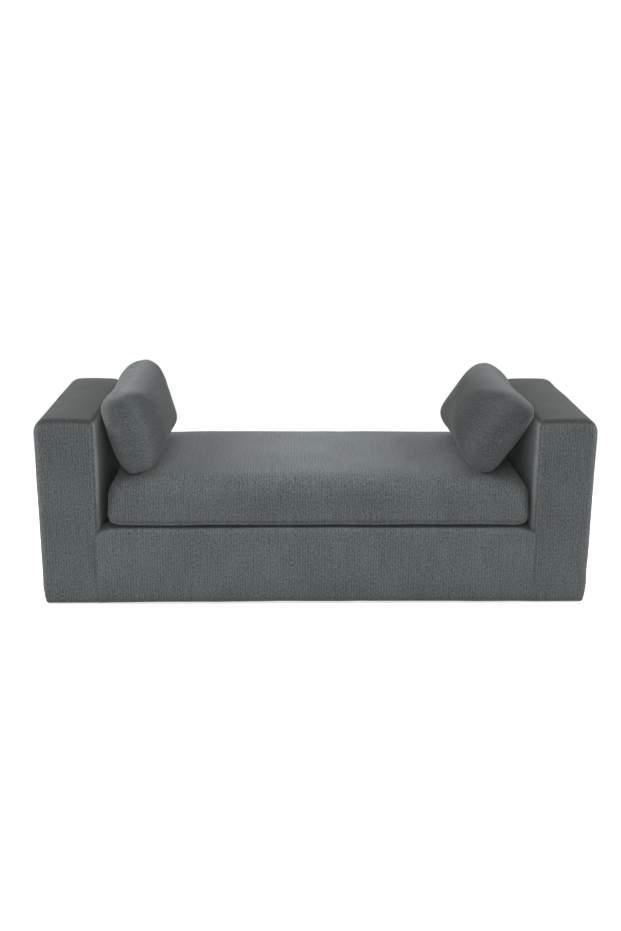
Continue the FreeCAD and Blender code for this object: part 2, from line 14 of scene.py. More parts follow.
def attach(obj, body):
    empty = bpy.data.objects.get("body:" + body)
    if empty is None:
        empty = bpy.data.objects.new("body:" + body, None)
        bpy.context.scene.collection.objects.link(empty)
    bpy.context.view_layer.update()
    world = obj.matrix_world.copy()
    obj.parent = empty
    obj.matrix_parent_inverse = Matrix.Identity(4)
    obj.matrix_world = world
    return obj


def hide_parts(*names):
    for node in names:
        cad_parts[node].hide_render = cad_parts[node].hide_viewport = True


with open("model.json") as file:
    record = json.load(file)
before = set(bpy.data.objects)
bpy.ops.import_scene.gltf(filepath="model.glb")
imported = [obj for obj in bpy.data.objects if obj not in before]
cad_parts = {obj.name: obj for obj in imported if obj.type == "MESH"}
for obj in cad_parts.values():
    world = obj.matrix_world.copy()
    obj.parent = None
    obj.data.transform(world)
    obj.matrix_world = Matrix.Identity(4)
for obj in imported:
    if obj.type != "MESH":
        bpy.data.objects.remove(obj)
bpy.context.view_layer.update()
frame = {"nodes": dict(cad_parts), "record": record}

MM = 0.001

# Guards for the arithmetic: places and rows of points this close are one, and no length is
# divided by less than the last.
SAME_PLACE = 1e-6
SAME_ROW = 1e-5
NO_LESS = 1e-9

# The divan's sizes.
HALF_DEPTH = 0.355
ARM_IN = 0.757
ARM_OUT = 0.967
ARM_TOP = 0.671
BASE_HALF_LONG = 0.777
BASE_PAD_IN = 0.260
DECK_HALF_DEEP = 0.2602
DECK_UNDERSIDE = 0.264
DECK_TOP = 0.284
FLOOR_GAP = 0.001
DUST_COVER = 0.0085
LIP_WIDTH = 0.010

# How strongly the fainter seams show. A full seam has 1.
ARM_SEAM = 0.70
HEM = 0.75
BOTTOM_SEAM = 0.9


# Meshes

def deselect_all():
    """Leaves object mode's selection empty, so that an operator acts on the new piece alone."""
    bpy.ops.object.select_all(action="DESELECT")


def activate(piece):
    """Makes the piece the only one that the next operator acts on."""
    deselect_all()
    piece.select_set(True)
    bpy.context.view_layer.objects.active = piece


def soft_block(name, low, high, spacing):
    """A closed block from a cube primitive, cut into even squares of about the given spacing."""
    deselect_all()
    low = np.array(low)
    high = np.array(high)
    bpy.ops.mesh.primitive_cube_add(size=1, location=(low + high) / 2, scale=high - low)
    piece = bpy.context.object
    piece.name = name
    piece.data.name = name
    bpy.ops.object.transform_apply(location=True, rotation=True, scale=True)
    bpy.ops.object.mode_set(mode="EDIT")
    bpy.ops.mesh.select_mode(type="EDGE")
    for axis in range(3):
        bpy.ops.mesh.select_all(action="DESELECT")
        bpy.ops.object.mode_set(mode="OBJECT")
        for edge in piece.data.edges:
            start, end = (piece.data.vertices[i].co for i in edge.vertices)
            edge.select = abs(start[axis] - end[axis]) > spacing / 2
        bpy.ops.object.mode_set(mode="EDIT")
        cuts = max(1, round((high[axis] - low[axis]) / spacing) - 1)
        bpy.ops.mesh.subdivide(number_cuts=cuts)
    bpy.ops.object.mode_set(mode="OBJECT")
    return piece


def points_of(piece):
    """The piece's points, a row for each."""
    flat = np.empty(len(piece.data.vertices) * 3)
    piece.data.vertices.foreach_get("co", flat)
    return flat.reshape(-1, 3)


def set_points(piece, points):
    """Puts the piece's points in new places."""
    piece.data.vertices.foreach_set("co", points.reshape(-1))
    piece.data.update()


def normals_of(piece):
    """The outward direction at each point."""
    flat = np.empty(len(piece.data.vertices) * 3)
    piece.data.vertices.foreach_get("normal", flat)
    return flat.reshape(-1, 3)


def push_out(piece, amounts):
    """Moves each point outwards by its amount."""
    set_points(piece, points_of(piece) + normals_of(piece) * amounts[:, None])


def smooth_step(values, start, end):
    """0 before start, 1 after end, and a smooth rise between them."""
    share = np.clip((values - start) / (end - start), 0, 1)
    return share * share * (3 - 2 * share)


def ripple(points, scale, seed):
    """Slow random swell at each point, between about -1 and 1. scale is waves in a metre."""
    shift = Vector((seed * 7.3, seed * 3.1, seed * 5.7))
    return np.array([noise.noise(Vector(p) * scale + shift) for p in points])


def two_ripples(points, seed, coarse, fine):
    """A coarse and a fine swell together. Each is given as its waves in a metre and its height."""
    return (ripple(points, coarse[0], seed) * coarse[1]
            + ripple(points, fine[0], seed + 1) * fine[1])


def second_row(raw):
    """Marks a block's second row of points from below, where a hem or the bottom seam runs."""
    rows = np.unique(raw[:, 2].round(6))
    return np.abs(raw[:, 2] - rows[1]) < SAME_ROW


def rounded_corner(points, low, high, radii):
    """Rounds the four corners of an outline. radii: low-low, high-low, low-high and high-high."""
    result = points.copy()
    for radius, (first, second) in zip(radii, ((0, 0), (1, 0), (0, 1), (1, 1))):
        corner_x = high[:, 0] - radius if first else low[:, 0] + radius
        corner_z = high[:, 1] - radius if second else low[:, 1] + radius
        away_x = (points[:, 0] - corner_x) * (1 if first else -1)
        away_z = (points[:, 1] - corner_z) * (1 if second else -1)
        inside = (away_x > 0) & (away_z > 0)
        length = np.hypot(away_x, away_z)
        reach = np.maximum(away_x, away_z)
        scale = np.where(inside, reach / np.maximum(length, NO_LESS), 1)
        round_x = corner_x + (points[:, 0] - corner_x) * scale
        round_z = corner_z + (points[:, 1] - corner_z) * scale
        result[:, 0] = np.where(inside, round_x, result[:, 0])
        result[:, 1] = np.where(inside, round_z, result[:, 1])
    return result


def upholstered(points, low, high, across, radii, rim, seam_turn):
    """Bends a block's points to a padded form.

    across is the axis that the outline is pushed along. radii are the outline's corner radii, and
    rim is the rounding of its two end faces at each point. The block's edge is the seam, and
    seam_turn is where it comes to lie on that rounding, as a share of a quarter turn from the
    end face.
    """
    sharpest_fold = 0.002
    first, second = [axis for axis in (0, 1, 2) if axis != across]
    plane = points[:, [first, second]]
    box_low = np.array([low[first], low[second]])
    box_high = np.array([high[first], high[second]])
    inset = np.minimum(plane - box_low, box_high - plane).min(1)
    depth = np.minimum(points[:, across] - low[across], high[across] - points[:, across])
    at_end = depth < SAME_PLACE
    share = np.clip(np.where(at_end, 1 - inset / rim, 1 - depth / rim), 0, 1)
    turn = np.where(at_end, share * seam_turn, 1 - share * (1 - seam_turn)) * math.pi / 2
    beyond = np.where(at_end, inset > rim, depth > rim)
    new_inset = np.where(beyond, inset, rim * (1 - np.sin(turn)))
    new_depth = np.where(beyond, depth, rim * (1 - np.cos(turn)))
    centre = (box_low + box_high) / 2
    half = (box_high - box_low) / 2
    new_half = half - new_inset[:, None]
    plane = centre + (plane - centre) * new_half / np.maximum(half - inset[:, None], NO_LESS)
    ring_radii = [np.maximum(radius - new_inset, sharpest_fold) for radius in radii]
    plane = rounded_corner(plane, centre - new_half, centre + new_half, ring_radii)
    result = points.copy()
    result[:, first] = plane[:, 0]
    result[:, second] = plane[:, 1]
    near_low = points[:, across] - low[across] < high[across] - points[:, across]
    result[:, across] = np.where(near_low, low[across] + new_depth, high[across] - new_depth)
    return result


def turn_under(points, raw, low, high):
    """Lifts the middle of the bottom face to the dust cover, and leaves a lip round it."""
    inset = np.minimum(raw[:, :2] - np.array(low[:2]), np.array(high[:2]) - raw[:, :2]).min(1)
    under = (raw[:, 2] < low[2] + SAME_PLACE) & (inset > LIP_WIDTH)
    points[:, 2] = np.where(under, DUST_COVER, points[:, 2])


def keep_at_points(piece, name, values):
    """Keeps one number for each point of the piece, for later steps and for its material."""
    attribute = piece.data.attributes.new(name, "FLOAT", "POINT")
    attribute.data.foreach_set("value", values.astype(np.float32))


def seam_of(piece):
    """How near each point is to a seam: its strength on it, and 0 from the next row on."""
    weight = np.empty(len(piece.data.vertices), dtype=np.float32)
    piece.data.attributes["seam"].data.foreach_get("value", weight)
    return weight


def lay_weave(piece, place):
    """Gives the piece its weave map in metres.

    place turns each face's corner points into u across the ribs and v along them. It is also
    given the middle of the face that each corner belongs to.
    """
    mesh = piece.data
    layer = mesh.uv_layers.new(name="weave")
    loops = np.empty(len(mesh.loops), dtype=np.int32)
    mesh.loops.foreach_get("vertex_index", loops)
    totals = np.empty(len(mesh.polygons), dtype=np.int32)
    mesh.polygons.foreach_get("loop_total", totals)
    owner = np.repeat(np.arange(len(totals)), totals)
    points = points_of(piece)
    middles = np.zeros((len(totals), 3))
    np.add.at(middles, owner, points[loops])
    middles /= totals[:, None]
    weave = place(points[loops], middles[owner])
    layer.data.foreach_set("uv", weave.astype(np.float32).reshape(-1))


def plump(piece, pressure, reach, hold):
    """Lets the cover swell over its filling in a cloth simulation. No point moves over reach.

    hold is how freely each point may move, from 0, fixed, to 1. The swelling is scaled so that
    all but the few loosest points come to lie within reach, and those are held at it.
    """
    last_frame = 20
    all_but_loosest = 97
    before = points_of(piece)
    activate(piece)
    modifier = piece.modifiers.new("filling", "CLOTH")
    modifier.settings.quality = 4
    modifier.settings.mass = 0.35
    modifier.settings.tension_stiffness = 12
    modifier.settings.compression_stiffness = 12
    modifier.settings.shear_stiffness = 6
    modifier.settings.bending_stiffness = 0.6
    modifier.settings.use_pressure = True
    modifier.settings.uniform_pressure_force = pressure
    modifier.settings.effector_weights.gravity = 0
    modifier.point_cache.frame_start = 1
    modifier.point_cache.frame_end = last_frame
    for step in range(1, last_frame + 1):
        bpy.context.scene.frame_set(step)
    bpy.ops.object.modifier_apply(modifier=modifier.name)
    bpy.context.scene.frame_set(1)
    moved = (points_of(piece) - before) * hold[:, None]
    usual = np.percentile(np.linalg.norm(moved, axis=1), all_but_loosest)
    moved *= reach / max(usual, NO_LESS)
    lengths = np.linalg.norm(moved, axis=1)
    moved *= (np.minimum(lengths, reach) / np.maximum(lengths, NO_LESS))[:, None]
    set_points(piece, before + moved)


def subdivide_once(piece):
    """Smooths the piece's mesh and its shading."""
    activate(piece)
    modifier = piece.modifiers.new("smooth", "SUBSURF")
    modifier.levels = 1
    modifier.render_levels = 1
    bpy.ops.object.modifier_apply(modifier=modifier.name)
    bpy.ops.object.shade_smooth()


def pinch_seams(piece):
    """Draws the cover in along its seams."""
    depth = 0.0022
    push_out(piece, -depth * seam_of(piece) ** 2)


def recess(piece, strip):
    """Draws the cover in under a zip, so that the strip lies on it.

    The strip's axes are its length, its width and outwards, which is to the divan's back.
    """
    clearance, flank, reach = 0.0008, 0.9, 0.05
    corners = np.array([strip.matrix_world @ vertex.co for vertex in strip.data.vertices])
    centre = (corners.min(0) + corners.max(0)) / 2
    _, _, axes = np.linalg.svd(corners - corners.mean(0), full_matrices=False)
    outward = axes[2] * (1 if axes[2][1] > 0 else -1)
    to_strip = np.array([axes[0], axes[1], outward]).T
    local = (corners - centre) @ to_strip
    half = np.abs(local[:, :2]).max(0)
    points = points_of(piece)
    place = (points - centre) @ to_strip
    beside = np.maximum(np.abs(place[:, :2]) - half, 0).sum(1)
    limit = local[:, 2].min() - clearance + flank * beside
    over = np.where(place[:, 2] > -reach, np.maximum(place[:, 2] - limit, 0), 0)
    set_points(piece, points - outward * over[:, None])


def rest_against(piece, carrier, direction):
    """Flattens the piece where it would sink into its carrier. direction points to the carrier."""
    search, gap = 0.3, 0.0006
    mesh = carrier.data
    surface = BVHTree.FromPolygons(
        [vertex.co for vertex in mesh.vertices], [face.vertices for face in mesh.polygons])
    direction = Vector(direction)
    points = points_of(piece)
    for index, point in enumerate(points):
        start = Vector(point) - direction * search
        hit = surface.ray_cast(start, direction, search + gap)[0]
        if hit is not None:
            points[index] = hit - direction * gap
    set_points(piece, points)


# Materials

def linear(code):
    """The linear colour of an sRGB hex value."""
    parts = [int(code[i:i + 2], 16) / 255 for i in (1, 3, 5)]
    return [part / 12.92 if part <= 0.04045 else ((part + 0.055) / 1.055) ** 2.4
            for part in parts] + [1]


def add(tree, kind, inputs=None, **settings):
    """Adds one node with its settings. inputs are links or values by socket name or number."""
    item = tree.nodes.new(kind)
    for name, value in settings.items():
        setattr(item, name, value)
    for name, value in (inputs or {}).items():
        if isinstance(value, bpy.types.NodeSocket):
            tree.links.new(value, item.inputs[name])
        else:
            item.inputs[name].default_value = value
    return item


def new_finish(name, roughness, **sockets):
    """A material with its surface shader's own numbers set, with its tree and shader."""
    material = bpy.data.materials.new(name)
    material.use_nodes = True
    tree = material.node_tree
    shader = tree.nodes["Principled BSDF"]
    shader.inputs["Roughness"].default_value = roughness
    for socket, value in sockets.items():
        shader.inputs[socket.replace("_", " ")].default_value = value
    return material, tree, shader


# The cloth's noise layers: the width of their spots across the ribs and their length along them
# in mm, and the noise's detail and roughness.
WEAVE_LAYERS = {
    "ribs": (4.2, 9.0, 1.0, 0.5),
    "flecks": (3.4, 4.4, 1.0, 0.6),
    "picks": (8.0, 3.6, 1.0, 0.5),
    "slubs": (7.0, 120.0, 1.0, 0.5),
    "patch": (170.0, 240.0, 2.0, 0.5),
}
# How much of the ribs each further layer takes over, in this order.
LAYER_SHARES = {"flecks": 0.44, "picks": 0.28, "slubs": 0.10}
CORD_SHARE = 0.065
PATCH_SHARE = 0.10
# How far apart the ribs are.
CORD_MM = 9.6
# Blender's band pattern repeats each tenth of pi along its coordinate.
WAVE_PERIOD = math.pi / 10


def ribbed_chenille():
    """Chenille: a polyester upholstery cloth of furry yarns, woven into soft ribs 10 mm apart.

    Heathered grey-green yarns break each rib into short flecks, and the short pile gives a dull
    sheen at grazing angles. The colour is scaled by a value kept at each point: painted light and
    shade, set piece by piece and by the way each face turns. The ribs are at their real width. The
    flecks are drawn 4 mm long, coarser than the yarns, so that they show.
    """
    material, tree, shader = new_finish(
        "ribbed_chenille", 0.92, Sheen_Weight=0.12, Sheen_Roughness=0.5, Specular_IOR_Level=0.2)
    weave = add(tree, "ShaderNodeUVMap", uv_map="weave").outputs["UV"]
    layers = {}
    for layer, (across_mm, along_mm, detail, roughness) in WEAVE_LAYERS.items():
        scaled = add(tree, "ShaderNodeVectorMath", {
            0: weave, 1: (1000 / across_mm, 1000 / along_mm, 1)}, operation="MULTIPLY").outputs[0]
        layers[layer] = add(tree, "ShaderNodeTexNoise", {
            "Vector": scaled, "Scale": 1.0, "Detail": detail,
            "Roughness": roughness}).outputs["Fac"]
    cord = add(tree, "ShaderNodeTexWave", {
        "Vector": weave, "Scale": 1000 * WAVE_PERIOD / CORD_MM, "Distortion": 3.0, "Detail": 2.0,
        "Detail Scale": 1.5}, wave_type="BANDS", bands_direction="X").outputs["Fac"]
    cloth = layers["ribs"]
    for layer, share in LAYER_SHARES.items():
        cloth = add(tree, "ShaderNodeMix", {
            "Factor": share, "A": cloth, "B": layers[layer]}).outputs["Result"]
    cloth = add(tree, "ShaderNodeMix", {
        "Factor": CORD_SHARE, "A": cloth, "B": cord}).outputs["Result"]
    toned = add(tree, "ShaderNodeMix", {
        "Factor": PATCH_SHARE, "A": cloth, "B": layers["patch"]}).outputs["Result"]
    tone = add(tree, "ShaderNodeMapRange", {
        "Value": toned, "From Min": 0.355, "From Max": 0.645}).outputs["Result"]
    colour = add(tree, "ShaderNodeMix", {
        0: tone, 6: linear("#383c3c"), 7: linear("#7a8080")}, data_type="RGBA").outputs[2]
    # Painted light and shade: each point's kept value scales the colour.
    painted_light = add(tree, "ShaderNodeAttribute", attribute_name="painted_light").outputs["Fac"]
    painted_light_colour = add(tree, "ShaderNodeVectorMath", {
        0: colour, "Scale": painted_light}, operation="SCALE").outputs[0]
    # A seam is a narrow dark line: the power keeps it to the row of points that it runs on.
    seam = add(tree, "ShaderNodeAttribute", attribute_name="seam").outputs["Fac"]
    stitched = add(tree, "ShaderNodeMath", {0: seam, 1: 3.0}, operation="POWER").outputs[0]
    darkened = add(tree, "ShaderNodeMath", {0: stitched, 1: 0.5}, operation="MULTIPLY").outputs[0]
    final = add(tree, "ShaderNodeMix", {
        0: darkened, 6: painted_light_colour, 7: linear("#202424")}, data_type="RGBA").outputs[2]
    tree.links.new(final, shader.inputs["Base Color"])
    bump = add(tree, "ShaderNodeBump", {"Height": cloth, "Distance": 1.6 * MM, "Strength": 0.9})
    tree.links.new(bump.outputs["Normal"], shader.inputs["Normal"])
    return material


def plain_finish(name, roughness, dark, light, grain_mm, detail, relief_mm, stretch=(1, 1, 1),
                 **sockets):
    """A material whose colour and relief come from one noise on Object coordinates.

    grain_mm is the size of its grain, stretch how much longer the grain is along each axis, and
    relief_mm its height.
    """
    material, tree, shader = new_finish(name, roughness, **sockets)
    place = add(tree, "ShaderNodeTexCoord").outputs["Object"]
    scaled = add(tree, "ShaderNodeVectorMath", {
        0: place, 1: [1000 / (grain_mm * share) for share in stretch]},
        operation="MULTIPLY").outputs[0]
    grain = add(tree, "ShaderNodeTexNoise", {
        "Vector": scaled, "Scale": 1.0, "Detail": detail}).outputs["Fac"]
    tone = add(tree, "ShaderNodeMapRange", {
        "Value": grain, "From Min": 0.35, "From Max": 0.65}).outputs["Result"]
    colour = add(tree, "ShaderNodeMix", {
        0: tone, 6: linear(dark), 7: linear(light)}, data_type="RGBA").outputs[2]
    tree.links.new(colour, shader.inputs["Base Color"])
    bump = add(tree, "ShaderNodeBump", {
        "Height": grain, "Distance": relief_mm * MM, "Strength": 0.44})
    tree.links.new(bump.outputs["Normal"], shader.inputs["Normal"])
    return material


def other_finishes():
    """The finishes behind and under the chenille, by the record's slots."""
    return {
        # Polypropylene deck cloth, plain woven: dark, dry and slightly uneven.
        "deck_cloth": plain_finish(
            "woven_deck_cloth", 0.95, "#2c3032", "#3d4244", grain_mm=2.5, detail=3, relief_mm=0.3),
        # Spun-bonded polypropylene dust cover: black, papery, with a fine fibrous mottle.
        "dust_cover": plain_finish(
            "spun_bonded_dust_cover", 0.85, "#141516", "#222425",
            grain_mm=3.0, detail=4, relief_mm=0.2),
        # Polyurethane foam, cut: pale, open-celled and dull.
        "foam": plain_finish(
            "cut_foam", 1.0, "#cfc492", "#e6ddb2", grain_mm=2.0, detail=4, relief_mm=0.5),
        # Polyester fibre and felt: off-white, with soft clumps.
        "fibre": plain_finish(
            "bonded_fibre", 1.0, "#c9c7c0", "#e9e8e3", grain_mm=9.0, detail=3, relief_mm=1.0),
        # Elastic webbing, woven with rubber: black, with a fine even grain.
        "webbing": plain_finish(
            "elastic_webbing", 0.8, "#1d1c1a", "#35322e", grain_mm=1.6, detail=2, relief_mm=0.4),
        # Polyester zip tape: a fine tight weave, a shade darker than the cover.
        "zip_tape": plain_finish(
            "zip_tape", 0.8, "#2f3434", "#454b4b", grain_mm=0.9, detail=2, relief_mm=0.1,
            stretch=(1, 1, 3)),
        # Die-cast zinc slider, plated dark: smooth with small handling marks.
        "zip_slider": plain_finish(
            "plated_zinc_slider", 0.35, "#5a5c5f", "#6d6f72", grain_mm=3.0, detail=3,
            relief_mm=0.02, Metallic=1.0),
        # Polypropylene glide, injection moulded: black, with a fine spark-eroded grain.
        "glide_plastic": plain_finish(
            "moulded_glide", 0.5, "#161718", "#202224", grain_mm=0.8, detail=2, relief_mm=0.04),
        # Zinc-plated steel bolts: bright, with a slight bluish mottle.
        "zinc_steel": plain_finish(
            "zinc_plated_steel", 0.4, "#a9adb2", "#c4c8cc", grain_mm=2.0, detail=3,
            relief_mm=0.02, Metallic=1.0),
        # Hardboard: brown pressed fibre, smooth on its face.
        "hardboard": plain_finish(
            "pressed_hardboard", 0.75, "#5f4327", "#7b5a38", grain_mm=3.0, detail=5,
            relief_mm=0.1),
        # Birch plywood, sanded: pale, with long grain and slightly darker streaks.
        "plywood": plain_finish(
            "birch_plywood", 0.6, "#b8935f", "#d6b582", grain_mm=6.0, detail=5, relief_mm=0.1,
            stretch=(14, 1, 1)),
    }


# Camera, floor and light

WHITE = (1, 1, 1, 1)

# The photograph's camera: its place, how far it looks down, to the right and rolls in degrees,
# and its focal length in the photograph's pixels.
CAMERA_PLACE = (-0.109, -4.029, 1.589)
CAMERA_TURN = (16.33, 1.35, 0.35)
FOCAL_PX = 1117.0
PHOTOGRAPH_HEIGHT_PX = 931
SENSOR_MM = 36

# The floor lies just under the divan. Seen directly it is lifted by a glow, and it has run out
# to white at the second distance from the middle.
FLOOR_SIZE = 60
FLOOR_Z = -0.0005
FLOOR_GLOW = 0.66
FLOOR_FADE = (1.6, 2.6)

# The light from all round, beside the lamps.
AROUND_STRENGTH = 0.44

# Each lamp's place, the point that it is turned to, its width and its power in watts.
SOFTBOXES = {
    "overhead_softbox": ((0, 0.4, 3.4), (0, 0, 0.3), 2.4, 30),
    "left_softbox": ((-2.6, -0.3, 2.3), (0.4, 0, 0.4), 1.1, 70),
    "right_softbox": ((2.6, -0.3, 2.3), (-0.4, 0, 0.4), 1.1, 70),
    "front_softbox": ((-0.6, -4.4, 2.0), (0, 0, 0.4), 2.4, 46),
}


def set_up_camera():
    """The photograph's view: from eye height 1.59 m, 4.0 m in front of the divan's middle."""
    pitch, yaw, roll = (math.radians(angle) for angle in CAMERA_TURN)
    look = Vector((math.sin(yaw) * math.cos(pitch), math.cos(yaw) * math.cos(pitch),
                   -math.sin(pitch)))
    right = Vector((math.cos(yaw), -math.sin(yaw), 0))
    up = right.cross(look)
    right_rolled = right * math.cos(roll) + up * math.sin(roll)
    up_rolled = up * math.cos(roll) - right * math.sin(roll)
    data = bpy.data.cameras.new("photograph_camera")
    data.sensor_width = SENSOR_MM
    data.lens = FOCAL_PX * SENSOR_MM / PHOTOGRAPH_HEIGHT_PX
    camera = bpy.data.objects.new("photograph_camera", data)
    turn = Matrix((right_rolled, up_rolled, -look)).transposed()
    camera.matrix_world = Matrix.Translation(CAMERA_PLACE) @ turn.to_4x4()
    bpy.context.scene.collection.objects.link(camera)
    bpy.context.scene.camera = camera


def is_any_ray(tree, first, *others):
    """1 for a ray of any of the named kinds, and 0 for the rays that light the divan."""
    path = add(tree, "ShaderNodeLightPath")
    seen = path.outputs[first]
    for kind in others:
        seen = add(tree, "ShaderNodeMath", {
            0: seen, 1: path.outputs[kind]}, operation="MAXIMUM").outputs[0]
    return seen


def set_up_floor():
    """A pale studio floor that keeps the divan's shadow and runs out to white all round it."""
    deselect_all()
    bpy.ops.mesh.primitive_plane_add(size=FLOOR_SIZE, location=(0, 0, FLOOR_Z))
    floor = bpy.context.object
    floor.name = "studio_floor"
    material = bpy.data.materials.new("studio_floor")
    material.use_nodes = True
    tree = material.node_tree
    tree.nodes.clear()
    seen = is_any_ray(tree, "Is Camera Ray", "Is Glossy Ray")
    matt = add(tree, "ShaderNodeBsdfDiffuse", {"Color": linear("#e4e4e4")})
    lift = add(tree, "ShaderNodeMath", {0: seen, 1: FLOOR_GLOW}, operation="MULTIPLY").outputs[0]
    glow = add(tree, "ShaderNodeEmission", {"Color": WHITE, "Strength": lift})
    near = add(tree, "ShaderNodeAddShader", {0: matt.outputs[0], 1: glow.outputs[0]})
    white = add(tree, "ShaderNodeEmission", {"Color": WHITE, "Strength": 1.0})
    place = add(tree, "ShaderNodeTexCoord").outputs["Object"]
    away = add(tree, "ShaderNodeVectorMath", {0: place}, operation="LENGTH").outputs["Value"]
    fade = add(tree, "ShaderNodeMapRange", {
        "Value": away, "From Min": FLOOR_FADE[0], "From Max": FLOOR_FADE[1]}).outputs["Result"]
    share = add(tree, "ShaderNodeMath", {0: fade, 1: seen}, operation="MULTIPLY").outputs[0]
    both = add(tree, "ShaderNodeMixShader", {
        0: share, 1: near.outputs[0], 2: white.outputs[0]})
    add(tree, "ShaderNodeOutputMaterial", {"Surface": both.outputs[0]})
    floor.data.materials.append(material)


def set_up_world():
    """White behind the divan, and a softer light all round it."""
    world = bpy.data.worlds.new("studio")
    world.use_nodes = True
    bpy.context.scene.world = world
    tree = world.node_tree
    tree.nodes.clear()
    seen = is_any_ray(tree, "Is Camera Ray", "Is Glossy Ray", "Is Transmission Ray")
    around = add(tree, "ShaderNodeBackground", {
        "Color": linear("#f8fafa"), "Strength": AROUND_STRENGTH})
    white = add(tree, "ShaderNodeBackground", {"Color": WHITE, "Strength": 1.0})
    both = add(tree, "ShaderNodeMixShader", {
        0: seen, 1: around.outputs[0], 2: white.outputs[0]})
    add(tree, "ShaderNodeOutputWorld", {"Surface": both.outputs[0]})


def add_softbox(name, place, aim, size, power):
    """A square studio lamp of the given size, turned to the aim point."""
    data = bpy.data.lights.new(name, "AREA")
    data.size = size
    data.energy = power
    lamp = bpy.data.objects.new(name, data)
    lamp.location = place
    lamp.rotation_euler = (Vector(aim) - Vector(place)).to_track_quat("-Z", "Y").to_euler()
    bpy.context.scene.collection.objects.link(lamp)


# Upholstery

def cover(piece, body, slot, fill, *nodes):
    """Finishes a padded piece: gives it the material of its slot, attaches it to its body and
    hides the solids that it stands for.
    """
    piece.data.materials.append(finishes[slot])
    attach(piece, body)
    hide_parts(*nodes)


def make_arm(arm, side, seed):
    """One block arm: a front and a back panel sewn into a wrap up the outside and over the top.

    side is 1 for the right arm and -1 for the left one, which is a mirrored right arm.
    """
    low = (ARM_IN, -HALF_DEPTH, FLOOR_GAP)
    high = (ARM_OUT, HALF_DEPTH, ARM_TOP)
    piece = soft_block(f"{arm}_upholstery", low, high, spacing=0.013)
    raw = points_of(piece)
    edge = np.minimum(raw[:, 1] - low[1], high[1] - raw[:, 1])
    from_sides = np.minimum(raw[:, 0] - low[0], high[0] - raw[:, 0])
    outline = np.minimum(from_sides, high[2] - raw[:, 2])
    panel_seam = ARM_SEAM * ((edge < SAME_PLACE) & (outline < SAME_PLACE))
    seam = np.maximum(panel_seam, HEM * second_row(raw))

    # The panels' edges are rounded less near the foot, where the padding ends.
    foot_rim, rim_gain, full_rim_at = 0.005, 0.021, 0.12
    rim = foot_rim + rim_gain * smooth_step(raw[:, 2], FLOOR_GAP, full_rim_at)
    radii = (0.004, 0.004, 0.028, 0.048)
    points = upholstered(raw, low, high, 1, radii, rim, seam_turn=0.47)
    turn_under(points, raw, low, high)

    # The cover is pulled in towards the floor on the outside.
    foot_top, foot_height, foot_pull = 0.098, 0.09, 0.010
    foot = np.clip((foot_top - points[:, 2]) / foot_height, 0, 1) ** 2
    points[:, 0] -= foot_pull * foot * smooth_step(points[:, 0], ARM_IN, ARM_OUT)

    # The top is slightly domed.
    dome_height, dome_from = 0.003, 0.6
    middle = (ARM_IN + ARM_OUT) / 2
    dome = np.clip(1 - ((points[:, 0] - middle) / (ARM_OUT - middle)) ** 2, 0, 1)
    points[:, 2] += dome_height * dome * smooth_step(points[:, 2], dome_from, ARM_TOP)

    if side < 0:
        points[:, 0] *= -1
    set_points(piece, points)
    if side < 0:
        piece.data.flip_normals()
    keep_at_points(piece, "seam", seam)
    plump(piece, pressure=2.0, reach=0.003, hold=smooth_step(points[:, 2], 0.012, 0.06))
    subdivide_once(piece)
    points = points_of(piece)
    swell = two_ripples(points, seed, (5.0, 0.0018), (16.0, 0.0007))
    push_out(piece, swell * smooth_step(points[:, 2], 0.012, 0.05))
    pinch_seams(piece)

    # Painted light and shade: the arm's colour is scaled down all over, with painted shade on the
    # top and painted light on the inner face.
    front_light_scale, top_shade, inner_light = 0.80, 0.59, 0.65
    upward = smooth_step(normals_of(piece)[:, 2], 0.2, 0.85)
    inward = smooth_step(-normals_of(piece)[:, 0] * side, 0.75, 1.0)
    keep_at_points(piece, "painted_light", front_light_scale - top_shade * upward + inner_light * inward)

    def place(corners, middles):
        """Ribs run up the sides, and from side to side over the top."""
        ends = np.abs(middles[:, 1]) > HALF_DEPTH - 0.008
        top = middles[:, 2] > ARM_TOP - 0.020
        inner = np.abs(middles[:, 0]) < ARM_IN + 0.03
        top_start = 0.4
        u = np.where(ends, corners[:, 0], corners[:, 1])
        v = np.where(ends | ~top, corners[:, 2], np.abs(corners[:, 0]) + top_start)
        v = np.where(~ends & ~top & inner, -corners[:, 2], v)
        return np.stack((u, v), 1)

    lay_weave(piece, place)
    cover(piece, "frame_and_arms", "chenille_upholstery", 1.0, f"{arm}_cover", f"{arm}_foam")
    return piece


